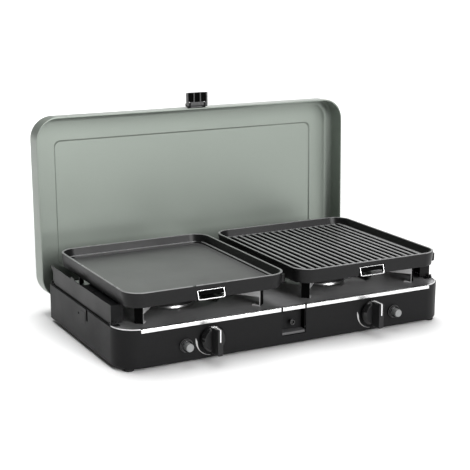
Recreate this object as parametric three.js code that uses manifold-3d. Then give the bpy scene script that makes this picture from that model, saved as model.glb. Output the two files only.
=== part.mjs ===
// Two-burner camping stove: pressed-steel case, hob tray, two burners with turn-and-push gas taps
// and piezo buttons, side windshields, two lift-off cooking plates and a hinged lid.
// Millimetres, +Z up, +X to the right, the knobs face -Y. The lid stands open, as when cooking.
// Everything is laid out about the middle of the case, with z = 0 at the underside of the case,
// and the finished group is shifted at the end so that the feet stand on z = 0.
import * as THREE from 'three';
import { mergeVertices } from 'three/addons/utils/BufferGeometryUtils.js';
import Module from 'manifold-3d';

const wasm = await Module();
wasm.setup();

// ---------------------------------------------------------------- driving dimensions
const CASE = { width: 600, depth: 310, height: 61.4, wall: 1.2, frontRadius: 40, rearRadius: 6 };
const TRAY = { top: 62.4, sheetTop: 61, sheet: 1.2, wellRadius: 88, wellFloor: 47, burnerHole: 34 };
const LIP = { halfWidth: 265, bottom: 56, shelf: 5 };
const FOOT = { x: 279, y: 138, radius: 8, height: 5 };
const UNIT_X = 147.8;                    // burners, knobs and plates sit at plus and minus this
const KNOB = { z: 32, radius: 21.3, back: 158.2, skirt: 7, grip: 28, gripWidth: 9, line: 1.8 };
const BUTTON = { x: 192, z: 27, capRadius: 7.5, front: 172, back: 160.7, bezelRadius: 11, bore: 8 };
const RECESS = { halfWidth: 22, bottom: 15, depth: 14, wall: 1.2 };
const CATCH = { z: 34, reach: 9, radius: 5 };
const GAS = { x: 205, z: 30, pipeY: -130, pipeZ: 13, pipe: 4 };
const TAP = { front: 149, back: 124, radius: 10, plug: 6, stem: 2.9 };
const BURNER = { cup: 33, cupBottom: 20, cupTop: 47.5, neck: 31, crown: 40, bottom: 42, shelf: 48.5, top: 62,
  slots: 8 };
const ELECTRODE = { out: 47, y: 18, radius: 3, bottom: 34, top: 62 };
const PLATE = { width: 276, depth: 308, y: -2, top: 119, bottom: 95, floorTop: 104, floorUnder: 99,
  wall: 6, radius: 30, taper: 2.5 };
const GRILL = { ribs: 19, pitch: 13.2, ribWidth: 5, ribTop: 110 };
const LUG = { y: -128, width: 14, bottom: 97, top: 110, reach: 9 };
const BAIL = { halfWidth: 22.5, wire: 1.2, drop: 14, z: 109.5, tilt: 18 };
const SUPPORT = { reachX: 107, reachY: 122, armWidth: 14, armBottom: 76, foot: 61 };
const SHIELD = { x: 296, thickness: 1, bottom: 61.4, top: 93, front: -112, rear: 150, pivotZ: 63.8,
  pin: 1.6, flange: 19, flangeRear: 11 };
const LID = { width: 606, height: 314, depth: 44.4, wall: 1.2, radius: 39, edge: 14, lean: 1.5,
  panelInset: 45, panelStep: 2, rimY: 178, bottomZ: 24 };
const HINGE = { x: 230, y: 148.5, z: 33.3, pin: 2, arm: 3, slot: 4 };
const SIDE_VENT = { y: 16, z: 47, radius: 2, notchY: -20, notchBottom: 43 };
const LATCH = { width: 41, length: 27, paddle: 4, pivotUp: 5.5, pivotIn: 8, pin: 1.5, panelPitch: 12.5 };
const GAP = 0.3;                         // clearance between pieces that are cut to fit each other
const CLEAR = 70;                        // a height above the hob tray, for cuts that open upwards

// ---------------------------------------------------------------- finishes
const paint = (color, roughness, metalness) =>
  new THREE.MeshStandardMaterial({ color, roughness, metalness });
const FINISH = {
  blackPaint: paint(0x2b2b2b, 0.55, 0.2),
  enamel: paint(0x4a4b4c, 0.35, 0.6),
  lidPaint: paint(0x8f978f, 0.45, 0.2),
  castCoat: paint(0x3a3a3a, 0.6, 0.3),
  steel: paint(0xb8b8b8, 0.3, 0.9),
  brass: paint(0xb08d4a, 0.35, 0.9),
  blackPlastic: paint(0x1c1c1c, 0.5, 0),
  greyPlastic: paint(0x9a9a9a, 0.5, 0),
  whitePlastic: paint(0xf0f0f0, 0.5, 0),
  rubber: paint(0x181818, 0.9, 0),
  ceramic: paint(0xe8e4da, 0.3, 0),
};

// ---------------------------------------------------------------- solid helpers
function solid(geometry) {
  const bare = geometry.clone();
  bare.deleteAttribute('normal');
  bare.deleteAttribute('uv');
  const merged = mergeVertices(bare, 1e-4);
  return new wasm.Manifold(new wasm.Mesh({
    numProp: 3,
    vertProperties: new Float32Array(merged.attributes.position.array),
    triVerts: new Uint32Array(merged.index.array),
  }));
}

function geometryOf(body) {
  const mesh = body.getMesh();
  const geometry = new THREE.BufferGeometry();
  geometry.setAttribute('position', new THREE.BufferAttribute(new Float32Array(mesh.vertProperties), 3));
  geometry.setIndex(new THREE.BufferAttribute(new Uint32Array(mesh.triVerts), 1));
  geometry.computeVertexNormals();
  return geometry;
}

const join = (first, ...rest) => rest.reduce((sum, item) => sum.add(item), first);
const cut = (first, ...rest) => rest.reduce((left, item) => left.subtract(item), first);

function box(x0, x1, y0, y1, z0, z1) {
  const geometry = new THREE.BoxGeometry(x1 - x0, y1 - y0, z1 - z0);
  geometry.translate((x0 + x1) / 2, (y0 + y1) / 2, (z0 + z1) / 2);
  return solid(geometry);
}

// A round bar along Y, Z or X: axis letter, the two end positions, the other two coordinates.
function bar(axis, from, to, a, b, radius, sides = 24) {
  const geometry = new THREE.CylinderGeometry(radius, radius, to - from, sides);
  const middle = (from + to) / 2;
  if (axis === 'x') {
    geometry.rotateZ(Math.PI / 2);
    geometry.translate(middle, a, b);
  } else if (axis === 'y') {
    geometry.translate(a, middle, b);
  } else {
    geometry.rotateX(Math.PI / 2);
    geometry.translate(a, b, middle);
  }
  return solid(geometry);
}

// A turned piece about Y (pointing to the front) or Z: profile points are [radius, position].
function turned(axis, profile, a, b, sides = 32) {
  const points = profile.map(([r, p]) => new THREE.Vector2(r, p));
  const geometry = new THREE.LatheGeometry(points, sides);
  if (axis === 'z') {
    geometry.rotateX(Math.PI / 2);
    geometry.translate(a, b, 0);
  } else {
    geometry.translate(a, 0, b);
  }
  return solid(geometry);
}

// A rounded rectangle; radii run front-left, front-right, rear-right, rear-left.
function roundedShape(x0, x1, y0, y1, radii) {
  const [fl, fr, rr, rl] = radii;
  const shape = new THREE.Shape();
  shape.moveTo(x0 + fl, y0);
  shape.lineTo(x1 - fr, y0);
  shape.absarc(x1 - fr, y0 + fr, fr, -Math.PI / 2, 0, false);
  shape.lineTo(x1, y1 - rr);
  shape.absarc(x1 - rr, y1 - rr, rr, 0, Math.PI / 2, false);
  shape.lineTo(x0 + rl, y1);
  shape.absarc(x0 + rl, y1 - rl, rl, Math.PI / 2, Math.PI, false);
  shape.lineTo(x0, y0 + fl);
  shape.absarc(x0 + fl, y0 + fl, fl, Math.PI, Math.PI * 1.5, false);
  return shape;
}

function prism(shape, z0, z1, segments = 6) {
  const settings = { depth: z1 - z0, bevelEnabled: false, curveSegments: segments, steps: 1 };
  const geometry = new THREE.ExtrudeGeometry(shape, settings);
  geometry.translate(0, 0, z0);
  return solid(geometry);
}

// A rounded block for drafted castings: full size at its top, taper smaller all round at its foot.
function drafted(halfX, halfY, radius, taper, x, y, z0, z1) {
  const upper = roundedShape(-halfX, halfX, -halfY, halfY, [radius, radius, radius, radius]);
  const settings = { depth: z1 - z0, bevelEnabled: false, curveSegments: 5 };
  const geometry = new THREE.ExtrudeGeometry(upper, settings);
  const position = geometry.attributes.position;
  for (let i = 0; i < position.count; i += 1) {
    const draft = taper * (1 - position.getZ(i) / (z1 - z0));
    position.setX(i, position.getX(i) * (1 - draft / halfX));
    position.setY(i, position.getY(i) * (1 - draft / halfY));
  }
  geometry.translate(x, y, z0);
  return solid(geometry);
}

// Round wire swept along a smooth path.
function wire(points, radius, steps, sides = 8, tension = 0.5) {
  const circle = new THREE.Shape();
  for (let i = 0; i < sides; i += 1) {
    const angle = (2 * Math.PI * i) / sides;
    const place = [radius * Math.cos(angle), radius * Math.sin(angle)];
    if (i === 0) circle.moveTo(...place);
    else circle.lineTo(...place);
  }
  circle.closePath();
  const path = new THREE.CatmullRomCurve3(points, false, 'catmullrom', tension);
  return solid(new THREE.ExtrudeGeometry(circle, { steps, bevelEnabled: false, extrudePath: path }));
}

// ---------------------------------------------------------------- the assembly
const stove = new THREE.Group();
const lid = new THREE.Group();
lid.position.set(0, LID.rimY, LID.bottomZ);
lid.rotation.x = -THREE.MathUtils.degToRad(LID.lean);
stove.add(lid);

function add(name, body, material, parent = stove) {
  const mesh = new THREE.Mesh(geometryOf(body), material);
  mesh.name = name;
  parent.add(mesh);
  return mesh;
}

const SIDES = [{ name: 'left', sign: -1 }, { name: 'right', sign: 1 }];
const halfW = CASE.width / 2;
const halfD = CASE.depth / 2;
const caseOutline = (inset) => roundedShape(
  -halfW + inset, halfW - inset, -halfD + inset, halfD - inset,
  [CASE.frontRadius - inset, CASE.frontRadius - inset, CASE.rearRadius - inset, CASE.rearRadius - inset],
);

// Pressed case: floor and four walls, the front one lower between its corners to take the tray's
// lip, with openings for the taps, buttons, latch, hinges and gas.
function baseCase() {
  const shell = cut(
    prism(caseOutline(0), 0, CASE.height),
    prism(caseOutline(CASE.wall), CASE.wall, CASE.height + 5),
  );
  const latchOpening = RECESS.halfWidth + GAP;
  const { notchY, notchBottom } = SIDE_VENT;
  const lip = LIP.halfWidth + GAP;
  const openings = [
    box(-lip, lip, -halfD - 1, -halfD + 2, LIP.bottom - GAP, CLEAR),
    box(-latchOpening, latchOpening, -halfD - 1, -halfD + 2, RECESS.bottom - GAP, CLEAR),
    bar('y', halfD - 3, halfD + 2, GAS.x, GAS.z, 8.3),
  ];
  for (const { sign } of SIDES) {
    const side = sign * halfW;
    const hinge = sign * HINGE.x;
    openings.push(
      bar('y', -halfD - 1, -halfD + 2, sign * UNIT_X, KNOB.z, 5),
      bar('y', -halfD - 1, -halfD + 2, sign * BUTTON.x, BUTTON.z, 6.5),
      box(hinge - HINGE.slot, hinge + HINGE.slot, halfD - 3, halfD + 2, LID.bottomZ, CLEAR),
      bar('x', side - 3, side + 3, SIDE_VENT.y, SIDE_VENT.z, SIDE_VENT.radius, 12),
      box(side - 3, side + 3, notchY - 1, notchY + 1, notchBottom, CLEAR),
    );
  }
  return cut(shell, ...openings);
}

// Hob tray: a sheet inside the case walls, a lip over the front wall, and a well under each plate.
function hobTray() {
  const { halfWidth, bottom, shelf } = LIP;
  const edge = CASE.wall + GAP;
  let tray = join(
    prism(caseOutline(edge), TRAY.sheetTop - TRAY.sheet, TRAY.sheetTop),
    box(-halfWidth, halfWidth, -halfD, -halfD + shelf, TRAY.sheetTop - TRAY.sheet, TRAY.top),
    box(-halfWidth, halfWidth, -halfD, -halfD + CASE.wall, bottom, TRAY.top),
  );
  for (const { sign } of SIDES) {
    const x = sign * UNIT_X;
    const hinge = sign * HINGE.x;
    const slit = sign * RECESS.halfWidth;
    const { wellFloor, wellRadius, sheet, sheetTop, burnerHole } = TRAY;
    tray = join(tray, bar('z', wellFloor - sheet, sheetTop, x, 0, wellRadius, 32));
    tray = cut(
      tray,
      bar('z', wellFloor, CLEAR, x, 0, wellRadius - sheet, 32),
      bar('z', wellFloor - 3, CLEAR, x, 0, burnerHole, 24),
      bar('z', wellFloor - 3, CLEAR, x + ELECTRODE.out, ELECTRODE.y, ELECTRODE.radius + 1, 10),
      box(hinge - HINGE.slot, hinge + HINGE.slot, HINGE.y - 7, halfD + 2, bottom, CLEAR),
      box(slit - 0.5, slit + 0.5, -halfD - 1, -halfD + 1, bottom - 1, CLEAR),
    );
  }
  return tray;
}

function foot() {
  const { radius, height } = FOOT;
  const profile = [[0, -height], [radius - 1, -height], [radius, -height + 1], [radius, 0], [0, 0]];
  return turned('z', profile, 0, 0, 16);
}

// Latch recess: a cup let into the front panel, open to the front and the top.
function latchPocket() {
  const { halfWidth, bottom, depth, wall } = RECESS;
  return cut(
    box(-halfWidth, halfWidth, -halfD + CASE.wall + GAP, -halfD + depth, bottom, LIP.bottom - GAP),
    box(-halfWidth + wall, halfWidth - wall, -halfD - 1, -halfD + depth - wall, bottom + wall, CLEAR),
  );
}

// Headed stud at the back of the recess, which the lid latch snaps over.
function latchCatch() {
  const { z, reach, radius } = CATCH;
  const back = -halfD + RECESS.depth - RECESS.wall;
  const head = back - reach;
  const profile = [[0, head], [radius - 1, head], [radius, head + 1], [radius, head + 3],
    [radius - 2, head + 4], [radius - 2, back], [0, back]];
  return turned('y', profile, 0, z, 14);
}

// ---- gas train
// Tap body behind the front wall, bored for the plug, with a boss down to the gas pipe.
function valveBody(x) {
  const front = -halfD + CASE.wall + GAP;
  return cut(
    join(
      bar('y', front, -TAP.back + 4, x, KNOB.z, TAP.radius),
      bar('z', GAS.pipeZ + GAS.pipe + GAP, KNOB.z, x, GAS.pipeY, 3.5, 16),
    ),
    bar('y', -TAP.front, -TAP.back, x, KNOB.z, TAP.plug + 0.4),
    bar('y', front - 1, -TAP.front + 1, x, KNOB.z, TAP.stem + 0.7, 16),
  );
}

// The plug turns in the tap body; its bore takes the stem, with room behind for the push.
function valvePlug(x) {
  const { front, back, plug, stem } = TAP;
  const profile = [[0, -front + 1], [plug, -front + 1], [plug, -back - 8], [plug - 1.5, -back - 2],
    [0, -back - 2]];
  return cut(
    turned('y', profile, x, KNOB.z, 24),
    bar('y', -front - 1, -back - 6, x, KNOB.z, stem + 0.4, 16),
  );
}

// Stem with a flat along its top, from inside the plug to inside the knob.
function valveStem(x) {
  const { back, stem } = TAP;
  return cut(
    bar('y', -KNOB.back - 12, -back - 10, x, KNOB.z, stem, 16),
    box(x - 4, x + 4, -KNOB.back - 13, -back, KNOB.z + stem - 1, KNOB.z + stem + 1),
  );
}

function injector(x) {
  const back = -TAP.back + 4 + GAP;
  const profile = [[0, back], [5, back], [5, back + 6], [3, back + 8], [2, back + 12], [0, back + 12]];
  return cut(
    turned('y', profile, x, KNOB.z, 16),
    bar('y', back - 1, back + 13, x, KNOB.z, 0.8, 8),
  );
}

// Mixing tube: a bell mouth facing the injector, running back to a cup under the burner head.
function burnerTube(x) {
  const { cup, cupBottom, cupTop } = BURNER;
  const sheet = 1.2;
  const body = (inset) => {
    const mouth = 13 - inset;
    const tube = 9 - inset;
    const front = -110 - inset;
    const profile = [[0, front], [mouth, front], [mouth, -106], [tube, -92], [tube, -20], [0, -20]];
    return join(
      turned('y', profile, x, KNOB.z, 16),
      bar('z', cupBottom + inset, cupTop + inset, x, 0, cup - inset, 20),
    );
  };
  return cut(body(0), body(sheet));
}

// Burner head: a neck that drops into the cup, and a crown with flame slots all round.
function burnerHead(x) {
  const { neck, crown, bottom, shelf, top, slots } = BURNER;
  const seat = top - 6;
  const profile = [[0, bottom], [neck, bottom], [neck, shelf], [crown, shelf], [crown, top], [0, top]];
  let head = cut(
    turned('z', profile, x, 0, 24),
    bar('z', bottom - 1, seat + 1, x, 0, neck - 2, 24),
    bar('z', seat, top + 1, x, 0, crown - 4, 24),
  );
  for (let i = 0; i < slots; i += 1) {
    const geometry = new THREE.BoxGeometry(10, 3, 4);
    geometry.translate(crown - 2, 0, top - 1.5);
    geometry.rotateZ((2 * Math.PI * (i + 0.5)) / slots);
    geometry.translate(x, 0, 0);
    head = head.subtract(solid(geometry));
  }
  return head;
}

// Loose cap: a spigot that drops inside the crown, under a slightly domed disc.
function burnerCap(x) {
  const { crown, top } = BURNER;
  const under = top + GAP;
  const spigot = crown - 10;
  const profile = [[0, top - 5], [spigot, top - 5], [spigot, under], [crown - 1, under], [crown, under + 1.2],
    [crown - 2, under + 3.7], [12, under + 5.2], [0, under + 5.2]];
  return turned('z', profile, x, 0, 24);
}

// Gas pipe: one straight run under both taps, then a bend to the inlet in the rear wall.
function gasPipe() {
  const { x, z, pipeY, pipeZ, pipe } = GAS;
  const end = halfD - CASE.wall - 9;
  const places = [
    [-UNIT_X - 8, pipeY, pipeZ],
    [-60, pipeY, pipeZ],
    [60, pipeY, pipeZ],
    [170, pipeY, pipeZ],
    [x - 7, pipeY + 8, pipeZ + 1],
    [x, pipeY + 35, pipeZ + 2],
    [x, 0, (pipeZ + z) / 2],
    [x, end - 40, z],
    [x, end, z],
  ];
  return wire(places.map((place) => new THREE.Vector3(...place)), pipe, 20, 6, 0.4);
}

// Hose nozzle: a flange inside the rear wall, a collar through it and two barbs outside.
function gasInlet() {
  const { x, z } = GAS;
  const inside = halfD - CASE.wall - GAP;
  const flange = [[0, inside - 8.4], [9, inside - 8.4], [9, inside], [7.5, inside], [7.5, halfD + 3]];
  const barbs = [[5, halfD + 4], [4, halfD + 8], [5, halfD + 9], [4, halfD + 12], [5, halfD + 13],
    [3.6, halfD + 17], [0, halfD + 17]];
  return cut(
    turned('y', [...flange, ...barbs], x, z, 14),
    bar('y', inside - 10, halfD + 20, x, z, 2.2, 12),
  );
}

// ---- ignition
// Ceramic post with its spark wire pointing at the burner.
function electrode(x) {
  const { out, y, radius, bottom, top } = ELECTRODE;
  const centre = x + out;
  const profile = [[0, bottom], [radius, bottom], [radius, top], [1.6, top + 2], [1.6, top + 4],
    [0, top + 4]];
  return join(
    turned('z', profile, centre, y, 14),
    box(centre - 4, centre + 0.8, y - 0.8, y + 0.8, top + 1.6, top + 3.2),
  );
}

function igniterBody(x) {
  const front = -halfD + CASE.wall + GAP;
  const back = front + 31;
  const profile = [[0, front], [8.5, front], [8.5, back], [4, back + 4], [4, back + 10], [0, back + 10]];
  return cut(
    turned('y', profile, x, BUTTON.z, 20),
    bar('y', front - 1, front + 15, x, BUTTON.z, 5.4, 16),
  );
}

function bezel(x) {
  const { bezelRadius, bore, z } = BUTTON;
  const back = -halfD - GAP;
  const profile = [[bore, back], [bore, back - 7.7], [bore + 1.5, back - 8.1], [bezelRadius, back - 2.7],
    [bezelRadius, back], [bore, back]];
  return turned('y', profile, x, z, 20);
}

// Cap outside the panel and a plunger reaching into the igniter body.
function button(x) {
  const { capRadius, front, back, z } = BUTTON;
  const plunger = 4.9;
  const inside = -146;
  const profile = [[0, -front], [capRadius - 1.5, -front], [capRadius, -front + 1.5], [capRadius, -back],
    [plunger, -back], [plunger, inside], [0, inside]];
  return turned('y', profile, x, z, 18);
}

// ---- knobs
function knob(x) {
  const { z, radius, back, skirt, grip, gripWidth, line } = KNOB;
  const reach = radius - 0.3;
  const face = -back - grip;
  const half = line / 2 + GAP;
  const profile = [[0, -back - skirt], [radius - 3, -back - skirt], [radius, -back - 2], [radius, -back],
    [0, -back]];
  const body = join(
    turned('y', profile, x, z, 32),
    box(x - gripWidth / 2, x + gripWidth / 2, face, -back - skirt + 1, z - reach, z + reach),
  );
  const groove = join(
    box(x - half, x + half, face - 1, -back - 4, z + reach - 0.9, z + reach + 2),
    box(x - half, x + half, face - 1, face + 0.9, z + 1, z + reach + 2),
  );
  return cut(body, bar('y', -back - 12.4, -back + 1, x, z, TAP.stem + GAP, 16), groove);
}

// White line along the top edge of the grip and down the upper half of its face.
function pointer(x) {
  const { z, radius, back, grip, line } = KNOB;
  const reach = radius - 0.3;
  const face = -back - grip;
  return join(
    box(x - line / 2, x + line / 2, face, -back - 4 - GAP, z + reach - 0.6, z + reach),
    box(x - line / 2, x + line / 2, face, face + 0.6, z + 1 + GAP, z + reach),
  );
}

// ---- pot supports: four channel arms to a middle ring, on upright end posts
function potSupport(x) {
  const { reachX, reachY, armWidth, armBottom, foot: footZ } = SUPPORT;
  const top = PLATE.floorUnder;
  const length = Math.hypot(reachX, reachY);
  const wall = 1.5;
  let frame = bar('z', armBottom, armBottom + wall, 0, 0, 30, 24);
  const channels = [];
  for (const [sx, sy] of [[1, 1], [-1, 1], [-1, -1], [1, -1]]) {
    const turn = Math.atan2(sy * reachY, sx * reachX);
    const place = (geometry) => solid(geometry.rotateZ(turn));
    const piece = (from, to, width, z0, z1) => {
      const geometry = new THREE.BoxGeometry(to - from, width, z1 - z0);
      geometry.translate((from + to) / 2, 0, (z0 + z1) / 2);
      return place(geometry);
    };
    frame = join(
      frame,
      piece(18, length, armWidth, armBottom, top),
      piece(length - 2, length, armWidth, footZ, top),
      piece(length - 14, length, armWidth, footZ, footZ + wall),
    );
    channels.push(piece(0, length - 2, armWidth - 2 * wall, armBottom + wall, top + 1));
  }
  const plain = cut(frame, ...channels, bar('z', armBottom - 1, top + 2, 0, 0, 17, 24));
  return plain.translate([x, 0, 0]);
}

// ---- cooking plates
const plateHalfX = PLATE.width / 2;
const plateHalfY = PLATE.depth / 2;
const bailY = PLATE.y - plateHalfY + 3.2;
const plateRight = plateHalfX - 2;

// Lifting lug on the right side of a plate, rounded at its outer end.
function plateLug(x) {
  const { y, width, bottom, top, reach } = LUG;
  const end = x + plateRight + reach - width / 2;
  return join(
    box(x + plateRight - 2, end, y - width / 2, y + width / 2, bottom, top),
    bar('z', bottom, top, end, y, width / 2, 16),
  );
}

function plateBody(x) {
  const { y, top, bottom, floorTop, floorUnder, wall, radius, taper } = PLATE;
  const pocket = BAIL.halfWidth + 2;
  const front = y - plateHalfY - 1;
  const hollow = (inset, z0, z1, draft) =>
    drafted(plateHalfX - inset, plateHalfY - inset, radius - inset, draft, x, y, z0, z1);
  return cut(
    join(drafted(plateHalfX, plateHalfY, radius, taper, x, y, bottom, top), plateLug(x)),
    hollow(3, floorTop, top + 1, 7),
    hollow(wall + taper * 0.6, bottom - 1, floorUnder, 0),
    box(x - pocket, x + pocket, front, bailY + 1.8, bottom - 1, BAIL.z + 2.5),
    bar('x', x - pocket - 3, x + pocket + 3, bailY, BAIL.z, BAIL.wire + GAP, 12),
  );
}

function grillPlate(x) {
  const { ribs, pitch, ribWidth, ribTop } = GRILL;
  const reach = plateHalfY - 16;
  let plate = plateBody(x);
  for (let i = 0; i < ribs; i += 1) {
    const x0 = x + (i - (ribs - 1) / 2) * pitch - ribWidth / 2;
    plate = plate.add(box(x0, x0 + ribWidth, PLATE.y - reach, PLATE.y + reach, PLATE.floorTop - 1, ribTop));
  }
  return plate;
}

// Wire bail hung from the two holes beside its pocket, leaning out over the plate's lower edge.
function bail(x) {
  const { halfWidth, drop, z, tilt } = BAIL;
  const lean = THREE.MathUtils.degToRad(tilt);
  const lowY = bailY - drop * Math.tan(lean);
  const at = (px, f) => new THREE.Vector3(x + px, bailY + (lowY - bailY) * f, z - drop * f);
  const leftHalf = [[-halfWidth - 3.5, 0], [-halfWidth - 0.8, 0], [-halfWidth, 0.12], [-halfWidth, 0.86],
    [-halfWidth + 1.6, 1]];
  const rightHalf = leftHalf.map(([px, f]) => [-px, f]).reverse();
  const places = [...leftHalf, ...rightHalf].map(([px, f]) => at(px, f));
  return wire(places, BAIL.wire, 28, 6, 0.15);
}

// ---- windshields
function shieldOutline() {
  const { front, rear, bottom, top } = SHIELD;
  const tab = { rear: 58, front: 39, height: 3.5 };
  const outline = new THREE.Shape();
  outline.moveTo(front, bottom);
  outline.lineTo(rear - 8, bottom);
  outline.lineTo(rear - 8, top - 8);
  outline.lineTo(rear + 6, top);
  outline.lineTo(tab.rear, top);
  outline.lineTo(tab.rear - 2, top + tab.height);
  outline.lineTo(tab.front + 3, top + tab.height);
  outline.lineTo(tab.front, top);
  outline.lineTo(front, top);
  outline.closePath();
  return outline;
}

// Sheet panel folded inwards along its top and front, with a stiffening rib and two pegs.
function windshield(sign) {
  const { x, thickness, front, rear, bottom, top, pivotZ, pin, flange, flangeRear } = SHIELD;
  const geometry = new THREE.ExtrudeGeometry(shieldOutline(), { depth: thickness, bevelEnabled: false });
  geometry.rotateX(Math.PI / 2);
  geometry.rotateZ(Math.PI / 2);
  geometry.translate(x - thickness / 2, 0, 0);
  const panel = solid(geometry);
  const inner = x - thickness / 2;
  const outer = x + thickness / 2;
  const foldedEnd = box(inner - flange, outer, front - thickness, front + 0.5, bottom + 3, top);
  const foldedTop = box(inner - flange, outer, front - thickness, flangeRear, top - thickness, top);
  const slit = box(inner - flange - 1, inner - 2, -31, -29, top - 3, top + 1);
  const rib = box(inner - 1.5, inner + 0.2, -70, 33, bottom + 14, bottom + 17);
  const frontPin = bar('y', front - 7, front + 6, x, pivotZ, pin, 12);
  const rearPin = bar('y', rear - 14, rear - 2, x, pivotZ, pin, 12);
  const whole = cut(join(panel, foldedEnd, foldedTop, rib, frontPin, rearPin), slit);
  return sign > 0 ? whole : whole.mirror([1, 0, 0]);
}

// Upright ear on a small foot, bored for the windshield's peg.
function shieldBracket(sign, y) {
  const { x, pivotZ, pin } = SHIELD;
  const bracket = cut(
    join(
      box(x - 5, x + 2.6, y - 1, y + 1, TRAY.sheetTop, pivotZ + 3.6),
      box(x - 12, x - 4, y - 4, y + 4, TRAY.sheetTop, TRAY.sheetTop + 1.2),
    ),
    bar('y', y - 3, y + 3, x, pivotZ, pin + GAP, 16),
  );
  return sign > 0 ? bracket : bracket.mirror([1, 0, 0]);
}

// ---- lid hinge: brackets and pins inside the rear wall, arms fixed to the lid
function hingeBracket(x) {
  const back = halfD - CASE.wall - GAP;
  const cheek = (cx) => box(cx - 1, cx + 1, HINGE.y - 6, back, HINGE.z - 7, HINGE.z + 8);
  return cut(
    join(
      cheek(x - 4.5),
      cheek(x + 4.5),
      box(x - 14, x - 3.5, back - 1.5, back, HINGE.z - 12, HINGE.z + 12),
      box(x + 3.5, x + 14, back - 1.5, back, HINGE.z - 12, HINGE.z + 12),
      box(x - 14, x + 14, back - 1.5, back, HINGE.z - 24, HINGE.z - 11),
    ),
    bar('x', x - 8, x + 8, HINGE.y, HINGE.z, HINGE.pin + GAP, 16),
  );
}

function hingePin(x) {
  const ends = HINGE.pin + 1.4;
  return join(
    bar('x', x - 7, x + 7, HINGE.y, HINGE.z, HINGE.pin, 16),
    bar('x', x - 7.6, x - 5.9, HINGE.y, HINGE.z, ends, 16),
  );
}

// The lid's own frame: y = 0 at the rim plane and rising to the back, z = 0 at the lower edge.
const leanAngle = THREE.MathUtils.degToRad(LID.lean);
function toLid(y, z) {
  const dy = y - LID.rimY;
  const dz = z - LID.bottomZ;
  return [
    dy * Math.cos(leanAngle) - dz * Math.sin(leanAngle),
    dy * Math.sin(leanAngle) + dz * Math.cos(leanAngle),
  ];
}

function hingeArm(x) {
  const [py, pz] = toLid(HINGE.y, HINGE.z);
  const half = HINGE.arm / 2;
  const lift = LID.wall + GAP;
  return cut(
    join(
      bar('x', x - half, x + half, py, pz, 5, 20),
      box(x - half, x + half, py, 16, lift, pz + 4.5),
      box(x - 9, x + 9, 2, 26, lift, lift + 2),
    ),
    bar('x', x - half - 1, x + half + 1, py, pz, HINGE.pin + GAP, 16),
  );
}

// ---- lid: a drawn pan with rounded corners, a soft rear edge and a raised field in the panel
function lidPan(inset) {
  const half = LID.width / 2 - inset;
  const top = LID.height - inset;
  const edge = LID.edge - inset;
  const radius = LID.radius - LID.edge;
  const corners = [radius, radius, radius, radius];
  const shape = roundedShape(-half + edge, half - edge, inset + edge, top - edge, corners);
  const geometry = new THREE.ExtrudeGeometry(shape, {
    depth: LID.depth,
    bevelEnabled: true,
    bevelThickness: edge,
    bevelSize: edge,
    bevelSegments: 3,
    curveSegments: 5,
  });
  geometry.rotateX(Math.PI / 2);
  geometry.translate(0, LID.depth - inset - edge, 0);
  return solid(geometry);
}

function lidShell() {
  const { width, height, depth, panelInset, panelStep, wall } = LID;
  const field = (inset, y0, y1) => {
    const margin = panelInset + inset;
    const half = width / 2 - margin;
    const shape = roundedShape(-half, half, margin, height - margin, [18, 18, 18, 18]);
    const settings = { depth: y1 - y0, bevelEnabled: false, curveSegments: 5 };
    const geometry = new THREE.ExtrudeGeometry(shape, settings);
    geometry.rotateX(Math.PI / 2);
    geometry.translate(0, y1, 0);
    return solid(geometry);
  };
  const cutter = box(-width, width, -100, 0, -50, height + 50);
  return cut(
    join(lidPan(0), field(0, depth - 10, depth + panelStep)),
    lidPan(wall),
    field(wall, depth - 20, depth + panelStep - wall),
    cutter,
  );
}

// ---- lid latch, on lugs at the lid's free edge
const latchZ = LID.height + LATCH.pivotUp;
function latchBracket() {
  const half = LATCH.width / 2;
  const lug = (x) => join(
    box(x - 1.5, x + 1.5, LATCH.pivotIn - 4, LATCH.pivotIn + 4, LID.height + GAP, latchZ),
    bar('x', x - 1.5, x + 1.5, LATCH.pivotIn, latchZ, 4, 14),
  );
  return cut(
    join(
      lug(-half + 6),
      lug(half - 6),
      box(-half + 4, half - 4, LATCH.pivotIn - 4, LATCH.pivotIn + 4, LID.height + GAP, LID.height + 1.2),
    ),
    bar('x', -half, half, LATCH.pivotIn, latchZ, LATCH.pin + GAP, 16),
  );
}

function latchPin() {
  return bar('x', -LATCH.width / 2 + 1, LATCH.width / 2 - 1, LATCH.pivotIn, latchZ, LATCH.pin, 16);
}

// Barrel round the pin, a paddle with three sunk panels above it and a hook along its free edge.
function lidLatch() {
  const { width, length, paddle, pivotIn, pin } = LATCH;
  const half = width / 2;
  const face = pivotIn - 4;
  const tip = LID.height + length;
  const pieces = join(
    bar('x', -half, half, pivotIn, latchZ, 3.8, 14),
    box(-half, half, face, face + paddle, latchZ, tip),
    box(-half + 4, half - 4, face, face + 2 * paddle, tip - 4, tip),
  );
  const panels = [];
  for (let i = -1; i <= 1; i += 1) {
    const middle = i * LATCH.panelPitch;
    panels.push(box(middle - 5.3, middle + 5.3, face - 1, face + 1.2, latchZ + 5, tip + 1));
  }
  return cut(
    pieces,
    bar('x', -half - 1, half + 1, pivotIn, latchZ, pin + GAP, 16),
    box(-half + 4, -half + 8, pivotIn - 6, pivotIn + 6, LID.height, latchZ + 5),
    box(half - 8, half - 4, pivotIn - 6, pivotIn + 6, LID.height, latchZ + 5),
    ...panels,
  );
}

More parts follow.
